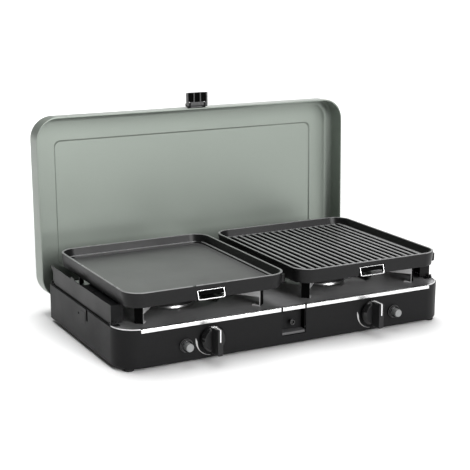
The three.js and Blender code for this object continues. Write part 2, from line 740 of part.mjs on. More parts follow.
// ---------------------------------------------------------------- put it together
add('base_case', baseCase(), FINISH.blackPaint);
add('hob_tray', hobTray(), FINISH.enamel);
add('latch_pocket', latchPocket(), FINISH.blackPaint);
add('latch_catch', latchCatch(), FINISH.steel);
for (const [end, sy] of [['front', -1], ['rear', 1]]) {
  for (const { name, sign } of SIDES) {
    const mesh = add(`foot_${end}_${name}`, foot(), FINISH.rubber);
    mesh.position.set(sign * FOOT.x, sy * FOOT.y, 0);
  }
}
add('gas_pipe', gasPipe(), FINISH.steel);
add('gas_inlet', gasInlet(), FINISH.brass);

for (const { name, sign } of SIDES) {
  const x = sign * UNIT_X;
  add(`valve_body_${name}`, valveBody(x), FINISH.brass);
  add(`valve_plug_${name}`, valvePlug(x), FINISH.brass);
  add(`valve_stem_${name}`, valveStem(x), FINISH.steel);
  add(`injector_${name}`, injector(x), FINISH.brass);
  add(`burner_tube_${name}`, burnerTube(x), FINISH.steel);
  add(`burner_head_${name}`, burnerHead(x), FINISH.steel);
  add(`burner_cap_${name}`, burnerCap(x), FINISH.steel);
  add(`electrode_${name}`, electrode(x), FINISH.ceramic);
  add(`igniter_body_${name}`, igniterBody(sign * BUTTON.x), FINISH.blackPlastic);
  add(`igniter_bezel_${name}`, bezel(sign * BUTTON.x), FINISH.blackPlastic);
  add(`igniter_button_${name}`, button(sign * BUTTON.x), FINISH.greyPlastic);
  add(`knob_${name}`, knob(x), FINISH.blackPlastic);
  add(`knob_pointer_${name}`, pointer(x), FINISH.whitePlastic);
  add(`pot_support_${name}`, potSupport(x), FINISH.blackPaint);
  add(`windshield_${name}`, windshield(sign), FINISH.blackPaint);
  add(`shield_bracket_front_${name}`, shieldBracket(sign, SHIELD.front - 4), FINISH.steel);
  add(`shield_bracket_rear_${name}`, shieldBracket(sign, SHIELD.rear - 5), FINISH.steel);
  add(`hinge_bracket_${name}`, hingeBracket(sign * HINGE.x), FINISH.steel);
  add(`hinge_pin_${name}`, hingePin(sign * HINGE.x), FINISH.steel);
  add(`hinge_arm_${name}`, hingeArm(sign * HINGE.x), FINISH.steel, lid);
}

add('griddle_plate', plateBody(-UNIT_X), FINISH.castCoat);
add('grill_plate', grillPlate(UNIT_X), FINISH.castCoat);
add('bail_left', bail(-UNIT_X), FINISH.steel);
add('bail_right', bail(UNIT_X), FINISH.steel);

add('lid_shell', lidShell(), FINISH.lidPaint, lid);
add('latch_bracket', latchBracket(), FINISH.steel, lid);
add('latch_pin', latchPin(), FINISH.steel, lid);
add('lid_latch', lidLatch(), FINISH.blackPlastic, lid);

// Stand the feet on z = 0 and bring the middle of the outline over the origin.
const group = new THREE.Group();
group.add(stove);
group.updateMatrixWorld(true);
const bounds = new THREE.Box3().setFromObject(group, true);
const middleY = (bounds.min.y + bounds.max.y) / 2;
stove.position.set(0, -Math.round(middleY * 2) / 2, FOOT.height);

export default group;
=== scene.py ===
import math

import bmesh
import bpy
from mathutils import Matrix, Vector
from mathutils.geometry import delaunay_2d_cdt


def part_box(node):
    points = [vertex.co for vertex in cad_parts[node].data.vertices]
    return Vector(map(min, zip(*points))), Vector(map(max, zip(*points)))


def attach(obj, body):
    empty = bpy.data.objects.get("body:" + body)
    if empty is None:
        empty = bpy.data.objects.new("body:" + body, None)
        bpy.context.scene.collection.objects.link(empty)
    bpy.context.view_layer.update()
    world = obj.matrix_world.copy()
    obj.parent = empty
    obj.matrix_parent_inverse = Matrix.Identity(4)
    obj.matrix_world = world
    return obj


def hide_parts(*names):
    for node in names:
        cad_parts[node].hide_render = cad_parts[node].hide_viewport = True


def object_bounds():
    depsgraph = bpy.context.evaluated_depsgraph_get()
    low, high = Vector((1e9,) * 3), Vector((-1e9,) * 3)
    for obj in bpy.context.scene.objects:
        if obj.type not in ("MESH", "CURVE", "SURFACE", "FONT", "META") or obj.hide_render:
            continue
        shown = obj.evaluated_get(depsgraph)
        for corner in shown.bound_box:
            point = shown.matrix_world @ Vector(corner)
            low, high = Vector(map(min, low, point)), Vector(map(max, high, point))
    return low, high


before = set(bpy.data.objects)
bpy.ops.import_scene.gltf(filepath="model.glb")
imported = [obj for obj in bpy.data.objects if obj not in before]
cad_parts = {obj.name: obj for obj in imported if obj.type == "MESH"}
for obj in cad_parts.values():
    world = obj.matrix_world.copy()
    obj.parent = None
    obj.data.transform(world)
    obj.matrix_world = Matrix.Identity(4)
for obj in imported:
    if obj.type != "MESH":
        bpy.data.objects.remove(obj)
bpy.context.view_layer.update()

# ---------------------------------------------------------------- places and sizes
# Shapes are written in millimetres about the middle of the case, with z = 0 at its underside.
MM = 0.001
CASE_LOW, CASE_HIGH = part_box("base_case")
ORIGIN = Vector(((CASE_LOW.x + CASE_HIGH.x) / 2, (CASE_LOW.y + CASE_HIGH.y) / 2, CASE_LOW.z))


def mm_box(node):
    low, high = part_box(node)
    return [(a - o) / MM for a, o in zip(low, ORIGIN)], [(a - o) / MM for a, o in zip(high, ORIGIN)]


def middle(node):
    low, high = mm_box(node)
    return [(a + b) / 2 for a, b in zip(low, high)]


SIDES = ("left", "right")
SIGN = {"left": -1, "right": 1}
HALF_W, HALF_D, CASE_TOP = mm_box("base_case")[1]
FRONT = -HALF_D
FRONT_CORNER, REAR_CORNER = 40, 6
UNIT = {side: middle(f"burner_cap_{side}")[0] for side in SIDES}
HINGE_HALF = 4

# The knobs' axes stand a little above those of the igniter buttons.
KNOB_RISE = 5
KNOB_Z = middle("igniter_bezel_left")[2] + KNOB_RISE
KNOB_BACK = mm_box("knob_left")[1][1]

# The hob tray: its sheet, its two round wells, and the lip with two slits along its front edge.
SHEET = 1.2
SHEET_TOP = 61.0
WELL_RIM, WELL_FLOOR, WELL_SIDES = 93, 47, 96
LIP_TOP = mm_box("hob_tray")[1][2]
LIP_HALF = 265
LIP_NOTCH = LIP_HALF + 0.3
SLIT = middle("latch_pocket")[0] + 22
SLIT_HALF = 1.6

# The cooking plates, and the bails that fold down at their fronts.
PLATE_Y = -2
PLATE_HALF = (138, 154)
PLATE_FRONT = PLATE_Y - PLATE_HALF[1]
PLATE_TOP = mm_box("griddle_plate")[1][2]
PLATE_FOOT = mm_box("griddle_plate")[0][2]
PLATE_FLOOR = 104
BAIL_Y = PLATE_FRONT + 3.2
BAIL_Z = 109.5
BAIL_POCKET_HALF = 24.5


# ---------------------------------------------------------------- mesh parts: (points, faces)
def outline(x0, x1, y0, y1, radii, steps=12):
    """Rounded rectangle, counter-clockwise; radii front-left, front-right, rear-right, rear-left."""
    corners = ((x0, y0, 1, 1, 180), (x1, y0, -1, 1, 270), (x1, y1, -1, -1, 0), (x0, y1, 1, -1, 90))
    points = []
    for (cx, cy, sx, sy, start), radius in zip(corners, radii):
        for i in range(steps + 1):
            angle = math.radians(start + 90 * i / steps)
            points.append((cx + radius * (sx + math.cos(angle)),
                           cy + radius * (sy + math.sin(angle))))
    return points


def soften(corners, steps=4, loop=False):
    """Points along a path whose corners (a, b, radius) are rounded off."""
    result = []
    count = len(corners)
    for i, (a, b, radius) in enumerate(corners):
        if radius <= 0 or (not loop and i in (0, count - 1)):
            result.append((a, b))
            continue
        here = Vector((a, b))
        back = Vector(corners[i - 1][:2]) - here
        ahead = Vector(corners[(i + 1) % count][:2]) - here
        half = back.normalized().angle(ahead.normalized()) / 2
        reach = min(radius / math.tan(half), 0.49 * back.length, 0.49 * ahead.length)
        radius = reach * math.tan(half)
        bisector = (back.normalized() + ahead.normalized()).normalized()
        centre = here + bisector * (radius / math.sin(half))
        first = here + back.normalized() * reach - centre
        last = here + ahead.normalized() * reach - centre
        start = math.atan2(first.y, first.x)
        turn = (math.atan2(last.y, last.x) - start + math.pi) % (2 * math.pi) - math.pi
        for k in range(steps + 1):
            angle = start + turn * k / steps
            result.append((centre.x + radius * math.cos(angle), centre.y + radius * math.sin(angle)))
    return result


def loft(rings, caps=True, loop=False):
    """Faces between successive rings of equal count, with flat ends unless it is a loop."""
    n = len(rings[0])
    count = len(rings)
    points = [p for ring in rings for p in ring]
    faces = []
    for i in range(count if loop else count - 1):
        a, b = i * n, ((i + 1) % count) * n
        faces += [(a + j, a + (j + 1) % n, b + (j + 1) % n, b + j) for j in range(n)]
    if caps and not loop:
        faces.append(tuple(reversed(range(n))))
        faces.append(tuple(range((count - 1) * n, count * n)))
    return points, faces


def revolve(profile, sides=48, loop=False):
    """Turned about the third axis; profile points are (radius, height)."""
    points, rows = [], []
    for radius, height in profile:
        if radius < 1e-6:
            rows.append([len(points)] * sides)
            points.append((0, 0, height))
            continue
        rows.append(list(range(len(points), len(points) + sides)))
        for j in range(sides):
            angle = 2 * math.pi * j / sides
            points.append((radius * math.cos(angle), radius * math.sin(angle), height))
    faces = []
    for a, b in zip(rows, rows[1:] + (rows[:1] if loop else [])):
        for j in range(sides):
            k = (j + 1) % sides
            face = tuple(dict.fromkeys((a[j], a[k], b[k], b[j])))
            if len(face) > 2:
                faces.append(face)
    return points, faces


def tube(path, radius, sides=16):
    """Round wire along a path of points."""
    path = [Vector(p) for p in path]
    rings = []
    side = Vector((0, 0.3, 1))
    for i, here in enumerate(path):
        along = (path[min(i + 1, len(path) - 1)] - path[max(i - 1, 0)]).normalized()
        side = (side - along * side.dot(along)).normalized()
        other = along.cross(side)
        rings.append([tuple(here + radius * (side * math.cos(2 * math.pi * j / sides)
                                             + other * math.sin(2 * math.pi * j / sides)))
                      for j in range(sides)])
    return loft(rings)


def prism(shape, low, high):
    """A flat shape (a, b) pulled along the third axis."""
    return loft([[(a, b, low) for a, b in shape], [(a, b, high) for a, b in shape]])


def block(x0, x1, y0, y1, z0, z1):
    return prism([(x0, y0), (x1, y0), (x1, y1), (x0, y1)], z0, z1)


def hole(radius, sides=48, reach=3):
    """Cutter for a round hole through a sheet, along the third axis."""
    return revolve([(0, -reach), (radius, -reach), (radius, reach), (0, reach)], sides)


def placed(part, rule):
    return [rule(*p) for p in part[0]], part[1]


def upright(x, y):
    return lambda a, b, h: (x + a, y + b, h)


def facing(x, y, z):
    """The third axis points to the front, -Y, from the place given."""
    return lambda a, b, h: (x + a, y - h, z + b)


def sideways(a, b, h):
    """The third axis is X; the shape lies in the plane of Y and Z."""
    return (h, a, b)


def together(*parts):
    points, faces = [], []
    for more, some in parts:
        start = len(points)
        points += more
        faces += [tuple(i + start for i in face) for face in some]
    return points, faces


def turned_z(profile, x, y, sides=48, loop=False, steps=4):
    return placed(revolve(soften(profile, steps, loop), sides, loop), upright(x, y))


def turned_y(profile, x, y, z, sides=48, loop=False):
    return placed(revolve(soften(profile, loop=loop), sides, loop), facing(x, y, z))


# ---------------------------------------------------------------- objects
def bake(obj):
    """Applies the object's modifiers to its mesh."""
    graph = bpy.context.evaluated_depsgraph_get()
    mesh = bpy.data.meshes.new_from_object(obj.evaluated_get(graph))
    old = obj.data
    obj.modifiers.clear()
    obj.data = mesh
    bpy.data.meshes.remove(old)


def outward(work):
    """Turns every separate shell of a mesh so that its faces point outwards."""
    bmesh.ops.recalc_face_normals(work, faces=work.faces)
    waiting = set(work.faces)
    while waiting:
        shell, queue = [], [waiting.pop()]
        while queue:
            face = queue.pop()
            shell.append(face)
            for edge in face.edges:
                for other in edge.link_faces:
                    if other in waiting:
                        waiting.remove(other)
                        queue.append(other)
        if sum(face.calc_center_median().dot(face.normal) * face.calc_area() for face in shell) < 0:
            bmesh.ops.reverse_faces(work, faces=shell)


def metres(points):
    """Places in the scene of points written in millimetres."""
    return [tuple(ORIGIN[i] + p[i] * MM for i in range(3)) for p in points]


def linked(name, data):
    obj = bpy.data.objects.new(name, data)
    bpy.context.scene.collection.objects.link(obj)
    return obj


def raw(name, part):
    """An object with a closed mesh part, welded and turned outwards."""
    mesh = bpy.data.meshes.new(name)
    mesh.from_pydata(metres(part[0]), [], part[1])
    work = bmesh.new()
    work.from_mesh(mesh)
    bmesh.ops.remove_doubles(work, verts=work.verts, dist=1e-7)
    outward(work)
    work.to_mesh(mesh)
    work.free()
    return linked(name, mesh)


def boolean(obj, part, operation="DIFFERENCE"):
    other = raw("cutter", part)
    step = obj.modifiers.new("cut", "BOOLEAN")
    step.operation = operation
    step.solver = "EXACT"
    step.object = other
    bpy.context.view_layer.update()
    bake(obj)
    mesh = other.data
    bpy.data.objects.remove(other)
    bpy.data.meshes.remove(mesh)


def bevel(obj, width, segments=2, angle=30):
    step = obj.modifiers.new("edge", "BEVEL")
    step.width = width * MM
    step.segments = segments
    step.limit_method = "ANGLE"
    step.angle_limit = math.radians(angle)
    step.use_clamp_overlap = True
    bpy.context.view_layer.update()
    bake(obj)


def smooth(obj, angle=40):
    obj.data.shade_smooth()
    obj.data.set_sharp_from_angle(angle=math.radians(angle))
    step = obj.modifiers.new("normals", "WEIGHTED_NORMAL")
    step.keep_sharp = True
    bpy.context.view_layer.update()
    bake(obj)


def fit(obj, material, body, replaced=(), angle=40):
    """Finishes a piece: shading, material, the body it rides on, and the CAD nodes it stands for."""
    smooth(obj, angle)
    obj.data.materials.clear()
    for each in material if isinstance(material, (list, tuple)) else [material]:
        obj.data.materials.append(each)
    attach(obj, body)
    if replaced:
        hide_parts(*replaced)
    return obj


def piece(name, part, material, body, replaced=()):
    return fit(raw(name, part), material, body, replaced)


def refine(node, width, material, body):
    """A finer copy of a CAD node, with its coplanar triangles merged and its edges rounded."""
    obj = linked(f"{node}_fine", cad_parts[node].data.copy())
    work = bmesh.new()
    work.from_mesh(obj.data)
    bmesh.ops.remove_doubles(work, verts=work.verts, dist=1e-6)
    bmesh.ops.dissolve_limit(work, angle_limit=math.radians(0.6), verts=work.verts, edges=work.edges)
    bmesh.ops.recalc_face_normals(work, faces=work.faces)
    work.to_mesh(obj.data)
    work.free()
    bevel(obj, width)
    return fit(obj, material, body, (node,))


def paint_where(obj, index, test):
    """Gives another of the object's materials to the faces whose centre passes the test, in mm."""
    for face in obj.data.polygons:
        if test(*[(a - o) / MM for a, o in zip(face.center, ORIGIN)]):
            face.material_index = index


# Places of a plate's materials in its list, after the dark coat, which is the first: the cooking
# floor made lighter as painted reflection, painted highlights on the rim, the ledge and the rib
# tops, and painted shade in the bail's pocket.
FLOOR_REFLECTION_INDEX, EDGE_HIGHLIGHT_INDEX, RIB_HIGHLIGHT_INDEX, POCKET_SHADE_INDEX = 1, 2, 3, 4


def paint_plate(plate, x, ribbed):
    """Painted light by where each face lies: a lighter cooking face as painted reflection, painted
    highlights on the rim, ledge and rib tops, and painted shade in the pocket.
    """
    rim_from, rib_tops_from, pocket_to = PLATE_TOP - 0.75, 108.4, 112.8
    for face in plate.data.polygons:
        px, py, pz = ((a - o) / MM for a, o in zip(face.center, ORIGIN))
        inset = min(PLATE_HALF[0] - abs(px - x), PLATE_HALF[1] - abs(py - PLATE_Y))
        normal = face.normal
        if pz > rim_from and normal.z > 0.25:
            face.material_index = EDGE_HIGHLIGHT_INDEX
        elif ribbed and pz > rib_tops_from and normal.z > 0.3 and inset > 12.5:
            face.material_index = RIB_HIGHLIGHT_INDEX
        elif not ribbed and normal.z > 0.5 and 103 < pz < 105.2 and inset > 12:
            face.material_index = FLOOR_REFLECTION_INDEX
        elif 105.4 < pz < 107 and normal.z > 0.5 and 8 < inset < 12.4:
            face.material_index = EDGE_HIGHLIGHT_INDEX
        elif (abs(px - x) < BAIL_POCKET_HALF + 0.3 and py < PLATE_FRONT + 12 and pz < pocket_to
              and not (normal.y < -0.5 and py < BAIL_Y + 0.5)):
            face.material_index = POCKET_SHADE_INDEX


# ---------------------------------------------------------------- materials
def surface(name, color, roughness, metallic=0.0, specular=0.5, fleck=0.08, fleck_scale=900.0,
            vary=0.06, vary_scale=14.0, bump=0.15, bump_scale=1800.0, depth=0.00004,
            stretch=(1, 1, 1), coat=0.0):
    """Principled surface with fine flecks of colour, slow changes of gloss and a fine bump."""
    material = bpy.data.materials.new(name)
    material.use_nodes = True
    nodes, links = material.node_tree.nodes, material.node_tree.links
    shader = nodes["Principled BSDF"]
    shader.inputs["Metallic"].default_value = metallic
    shader.inputs["Specular IOR Level"].default_value = specular
    shader.inputs["Coat Weight"].default_value = coat
    coords = nodes.new("ShaderNodeTexCoord")
    place = nodes.new("ShaderNodeMapping")
    place.inputs["Scale"].default_value = stretch
    links.new(coords.outputs["Object"], place.inputs["Vector"])

    def noise(scale, detail):
        node = nodes.new("ShaderNodeTexNoise")
        node.inputs["Scale"].default_value = scale
        node.inputs["Detail"].default_value = detail
        links.new(place.outputs["Vector"], node.inputs["Vector"])
        return node.outputs["Fac"]

    def mapped(value, low, high):
        node = nodes.new("ShaderNodeMapRange")
        node.inputs["From Min"].default_value = 0.3
        node.inputs["From Max"].default_value = 0.7
        node.inputs["To Min"].default_value = low
        node.inputs["To Max"].default_value = high
        links.new(value, node.inputs["Value"])
        return node.outputs["Result"]

    fine = noise(fleck_scale, 3.0)
    slow = noise(vary_scale, 4.0)
    ramp = nodes.new("ShaderNodeValToRGB")
    ramp.color_ramp.elements[0].position = 0.3
    ramp.color_ramp.elements[1].position = 0.7
    ramp.color_ramp.elements[0].color = [c * (1 - fleck) for c in color] + [1]
    ramp.color_ramp.elements[1].color = [min(1, c * (1 + fleck)) for c in color] + [1]
    links.new(fine, ramp.inputs["Fac"])
    links.new(ramp.outputs["Color"], shader.inputs["Base Color"])
    gloss = mapped(slow, max(0.02, roughness - vary), roughness + vary)
    links.new(gloss, shader.inputs["Roughness"])
    rise = nodes.new("ShaderNodeBump")
    rise.inputs["Strength"].default_value = bump
    rise.inputs["Distance"].default_value = depth
    links.new(noise(bump_scale, 2.0), rise.inputs["Height"])
    links.new(rise.outputs["Normal"], shader.inputs["Normal"])
    return material


BLACK_PAINT = surface("black_powder_coat", (0.009, 0.009, 0.0094), 0.42, specular=0.1, fleck=0.25,
                      fleck_scale=1400, bump=0.35, bump_scale=2200, depth=0.00006)
SHIELD_PAINT = surface("black_shield_coat", (0.005, 0.005, 0.0053), 0.36, specular=0.12, fleck=0.25,
                       fleck_scale=1400, bump=0.3, bump_scale=2400, depth=0.00005)
LID_PAINT = surface("sage_powder_coat", (0.26, 0.29, 0.26), 0.36, metallic=0.45, specular=0.25,
                    fleck=0.035, fleck_scale=1500, vary=0.05, vary_scale=9, bump=0.2,
                    bump_scale=2000, depth=0.00005)
TRAY_STEEL = surface("tray_brushed_steel", (0.39, 0.39, 0.395), 0.34, metallic=0.65, fleck=0.08,
                     fleck_scale=420, vary=0.07, vary_scale=30, bump=0.12, bump_scale=500,
                     depth=0.00003, stretch=(0.12, 1, 1))
BRIGHT_STEEL = surface("bright_steel_edge", (0.92, 0.92, 0.92), 0.24, metallic=1.0, fleck=0.02,
                       fleck_scale=500, vary=0.04, bump=0.05, bump_scale=600, depth=0.00002,
                       stretch=(0.08, 1, 1))
STEEL = surface("satin_steel", (0.62, 0.62, 0.625), 0.27, metallic=1.0, fleck=0.05, fleck_scale=700,
                vary=0.07, vary_scale=60, bump=0.08, bump_scale=900, depth=0.00002,
                stretch=(0.2, 1, 1))
SUPPORT_STEEL = surface("support_steel", (0.55, 0.55, 0.55), 0.4, metallic=0.4, fleck=0.08,
                        fleck_scale=500, vary=0.08, vary_scale=40, bump=0.1, bump_scale=700,
                        depth=0.00003)
BURNER_BRIGHT = surface("burner_polished", (0.88, 0.88, 0.88), 0.34, metallic=1.0, fleck=0.03,
                        fleck_scale=800, vary=0.05, bump=0.06, bump_scale=900, depth=0.00002)
BURNER_DARK = surface("burner_enamel", (0.012, 0.012, 0.012), 0.5, fleck=0.3, fleck_scale=1300,
                      bump=0.3, bump_scale=1500, depth=0.00005)
NONSTICK = surface("nonstick_coat", (0.0065, 0.0065, 0.0068), 0.36, specular=0.2, fleck=0.35,
                   fleck_scale=1100, vary=0.05, vary_scale=16, bump=0.5, bump_scale=1500,
                   depth=0.00006)
# Lighter copies of the non-stick coat: the cooking floor as painted reflection, the rims, ledges and
# rib tops as painted highlights.
NONSTICK_FLOOR_REFLECTION = surface("nonstick_floor_painted_reflection", (0.068, 0.068, 0.0685), 0.38, specular=0.35, fleck=0.3,
                         fleck_scale=1100, vary=0.03, vary_scale=16, bump=0.25, bump_scale=1500,
                         depth=0.00005)
NONSTICK_EDGE_HIGHLIGHT = surface("nonstick_edge_painted_highlight", (0.17, 0.17, 0.172), 0.3, specular=0.6, fleck=0.2,
                        fleck_scale=1300, bump=0.3, bump_scale=1500, depth=0.00004)
NONSTICK_RIB_HIGHLIGHT = surface("nonstick_rib_painted_highlight", (0.25, 0.25, 0.252), 0.3, specular=0.6, fleck=0.2,
                       fleck_scale=1300, bump=0.3, bump_scale=1500, depth=0.00004)
# The tray's steel bead, coloured near-white at the front as a painted highlight.
BEAD_HIGHLIGHT_STEEL = surface("bead_painted_highlight", (0.9, 0.9, 0.9), 0.3, metallic=0.2, fleck=0.03,
                     fleck_scale=500, bump=0.05, bump_scale=600, depth=0.00002)
# Matte black laid as painted shade: in the lip's slits, the recess, the bail pockets, the sunk latch
# panels, the arms' ends and the windshields' inner faces.
PAINTED_SHADE_BLACK = surface("painted_shade_black", (0.002, 0.002, 0.002), 0.85, specular=0.03, fleck=0.3,
                     bump=0.2, bump_scale=1500)
# Lighter black coat as painted highlight: the recess's ledge, the igniter collars' bevels and the
# latch's frame.
PAINTED_HIGHLIGHT_COAT = surface("painted_highlight_coat", (0.06, 0.06, 0.061), 0.32, specular=0.5, fleck=0.2,
                      fleck_scale=1400, bump=0.3, bump_scale=2200, depth=0.00005)
BRASS = surface("brass", (0.58, 0.41, 0.16), 0.3, metallic=1.0, fleck=0.06, fleck_scale=700,
                vary=0.08, vary_scale=80, bump=0.1, bump_scale=1200, depth=0.00002)
CERAMIC = surface("white_ceramic", (0.74, 0.72, 0.66), 0.22, fleck=0.03, fleck_scale=1200,
                  vary=0.04, bump=0.08, bump_scale=900, depth=0.00003, coat=0.3)
KNOB_PLASTIC = surface("black_moulded_plastic", (0.013, 0.013, 0.0135), 0.42, specular=0.25,
                       fleck=0.15, fleck_scale=1800, bump=0.4, bump_scale=3200, depth=0.00003)
KNOB_GLOSS = surface("black_gloss_plastic", (0.004, 0.004, 0.0042), 0.16, specular=0.5,
                     fleck=0.15, fleck_scale=1800, vary=0.03, bump=0.15, bump_scale=2600,
                     depth=0.00002)
BUTTON_PLASTIC = surface("grey_moulded_plastic", (0.21, 0.215, 0.215), 0.4, fleck=0.05,
                         fleck_scale=1800, bump=0.25, bump_scale=2800, depth=0.00003)
WHITE_PRINT = surface("white_print", (0.82, 0.82, 0.82), 0.45, fleck=0.03, fleck_scale=2600,
                      bump=0.15, bump_scale=3000, depth=0.00002)
GREY_PRINT = surface("grey_print", (0.40, 0.40, 0.40), 0.5, fleck=0.05, fleck_scale=2600,
                     bump=0.15, bump_scale=3000, depth=0.00002)
RUBBER = surface("black_rubber", (0.012, 0.012, 0.012), 0.78, specular=0.3, fleck=0.25,
                 fleck_scale=1400, bump=0.5, bump_scale=2600, depth=0.00005)


# ---------------------------------------------------------------- case
def case_ring(inset, z):
    """The case's outline seen from above, moved inwards and set at a height."""
    front, rear = max(FRONT_CORNER - inset, 1), max(REAR_CORNER - inset, 1)
    return [(x, y, z) for x, y in outline(-HALF_W + inset, HALF_W - inset, FRONT + inset,
                                          HALF_D - inset, (front, front, rear, rear), 16)]


def build_case():
    """Folded shell, with its holes and notches, and a pressed pad on each end."""
    stem_hole, igniter_hole, inlet_hole, end_hole = 5, 6.5, 8.3, 2
    pocket_half, pocket_foot, inlet_z = 22.3, 14.7, 30
    shape = soften([(60, 0, 0), (0, 0, 3.2), (0, CASE_TOP, 0.55), (SHEET, CASE_TOP, 0.55),
                    (SHEET, SHEET, 2.2), (60, SHEET, 0)], 6)
    case = raw("case_shell", loft([case_ring(inset, z) for inset, z in shape]))
    above = CASE_TOP + 9
    cuts = [
        block(-LIP_NOTCH, LIP_NOTCH, FRONT - 1, FRONT + 2, 55.7, above),
        block(-pocket_half, pocket_half, FRONT - 1, FRONT + 2, pocket_foot, 60),
        placed(hole(inlet_hole), facing(middle("gas_inlet")[0], HALF_D, inlet_z)),
    ]
    for side in SIDES:
        edge = SIGN[side] * HALF_W
        hinge = middle(f"hinge_arm_{side}")[0]
        igniter = middle(f"igniter_bezel_{side}")[0]
        cuts += [
            placed(hole(stem_hole), facing(UNIT[side], FRONT, KNOB_Z)),
            placed(hole(igniter_hole), facing(igniter, FRONT, KNOB_Z - KNOB_RISE)),
            block(hinge - HINGE_HALF, hinge + HINGE_HALF, HALF_D - 3, HALF_D + 2, 24, above),
            placed(hole(end_hole, 24), lambda a, b, h: (edge + h, 16 + a, 47 + b)),
            block(edge - 3, edge + 3, -24.4, -17.4, 43, above),
        ]
    for part in cuts:
        boolean(case, part)
    fit(case, BLACK_PAINT, "base", ("base_case",), 30)
    for side in SIDES:
        edge = SIGN[side] * HALF_W
        rings = [[(edge + SIGN[side] * out, y, z)
                  for y, z in outline(-14 + inset, 6 - inset, 36 + inset, 55 - inset, (2,) * 4, 4)]
                 for out, inset in ((-0.3, 0), (0.05, 0), (0.45, 0.6))]
        piece(f"case_side_pad_{side}", loft(rings), BLACK_PAINT, "base")


def build_tray():
    """Pressed sheet with a flat deck and two filleted wells, given its thickness downwards."""
    border = [(3.2, 60.9), (4.2, 60.98), (5.4, SHEET_TOP)]
    rings = [case_ring(inset, z) for inset, z in border]
    edge = [(x, y) for x, y, _ in rings[-1]]
    flat_points = list(edge)
    flat_edges = [(i, (i + 1) % len(edge)) for i in range(len(edge))]
    profile = soften([(WELL_RIM, SHEET_TOP, 0), (86.8, SHEET_TOP, 4.5), (86.8, WELL_FLOOR, 7),
                      (35.4, WELL_FLOOR, 1.4), (34, 45.6, 0)], 6)
    wells = []
    for side in SIDES:
        wells.append(placed(revolve(profile, WELL_SIDES), upright(UNIT[side], 0)))
        start = len(flat_points)
        flat_points += [(x, y) for x, y, _ in wells[-1][0][:WELL_SIDES]]
        flat_edges += [(start + i, start + (i + 1) % WELL_SIDES) for i in range(WELL_SIDES)]
    found = delaunay_2d_cdt([Vector(p) for p in flat_points], flat_edges, [], 0, 1e-6)
    flat, triangles = found[0], found[2]
    reach = WELL_RIM * math.cos(math.pi / WELL_SIDES)

    def inside_well(triangle):
        x = sum(flat[i].x for i in triangle) / 3
        y = sum(flat[i].y for i in triangle) / 3
        return any(math.hypot(x - UNIT[side], y) < reach for side in SIDES)

    deck = ([(p.x, p.y, SHEET_TOP) for p in flat], [t for t in triangles if not inside_well(t)])
    mesh = bpy.data.meshes.new("hob_sheet")
    points, faces = together(loft(rings, caps=False), deck, *wells)
    mesh.from_pydata(metres(points), [], faces)
    work = bmesh.new()
    work.from_mesh(mesh)
    bmesh.ops.remove_doubles(work, verts=work.verts, dist=1e-5)
    bmesh.ops.recalc_face_normals(work, faces=work.faces)
    top = max(work.faces, key=lambda face: face.calc_area())
    if top.normal.z < 0:
        bmesh.ops.reverse_faces(work, faces=work.faces)
    work.to_mesh(mesh)
    work.free()
    tray = linked("hob_sheet", mesh)
    step = tray.modifiers.new("sheet", "SOLIDIFY")
    step.thickness = SHEET * MM
    step.offset = -1
    bpy.context.view_layer.update()
    bake(tray)
    for side in SIDES:
        electrode_x, electrode_y = UNIT[side] + 47, middle(f"electrode_{side}")[1]
        hinge = middle(f"hinge_arm_{side}")[0]
        boolean(tray, placed(revolve([(0, 40), (4, 40), (4, 52), (0, 52)], 24),
                             upright(electrode_x, electrode_y)))
        boolean(tray, block(hinge - HINGE_HALF, hinge + HINGE_HALF, 141.5, HALF_D + 2, 55, 70))
    fit(tray, TRAY_STEEL, "base", ("hob_tray",), 30)


def build_edge_bead():
    """Rolled edge round the tray, open where the lip stands; it is near-white at the front as a
    painted highlight and black away from the front as painted shade.
    """
    bead = soften([(1.3, 59.6, 0.1), (1.3, 62.6, 0.7), (2.9, 62.6, 0.7), (3.4, 59.6, 0.1)], 4,
                  loop=True)
    rim = raw("hob_edge_bead", loft([case_ring(inset, z) for inset, z in bead], loop=True))
    boolean(rim, block(-LIP_NOTCH, LIP_NOTCH, FRONT - 1, FRONT + 6, 58, 70))
    fit(rim, (BEAD_HIGHLIGHT_STEEL, SHIELD_PAINT), "base", ("hob_tray",))
    # Painted shade: black on the bead away from the front.
    paint_where(rim, 1, lambda px, py, pz: py > -112)


def build_front_lip():
    """Bright lip in three runs, and in the two slits between them black fillers that stand as
    painted shade.
    """
    foot, shelf, rear = 56, 60.7, FRONT + 5
    lip = soften([(FRONT, foot, 0.3), (FRONT, LIP_TOP, 1.3), (rear, LIP_TOP, 0.7), (rear, shelf, 0),
                  (FRONT + SHEET, shelf, 0), (FRONT + SHEET, foot, 0.3)], 4, loop=True)
    runs = [(-LIP_HALF, -SLIT - SLIT_HALF), (-SLIT + SLIT_HALF, SLIT - SLIT_HALF),
            (SLIT + SLIT_HALF, LIP_HALF)]
    parts = [placed(prism(lip, low, high), sideways) for low, high in runs]
    piece("hob_front_lip", together(*parts), BRIGHT_STEEL, "base", ("hob_tray",))
    # Painted shade: matte black fillers in the slits.
    filler = [(a, min(b, LIP_TOP - 0.5)) for a, b in lip]
    fillers = [placed(prism(filler, cut - 1.55, cut + 1.55), sideways) for cut in (-SLIT, SLIT)]
    piece("lip_slot_shade", together(*fillers), PAINTED_SHADE_BLACK, "base")


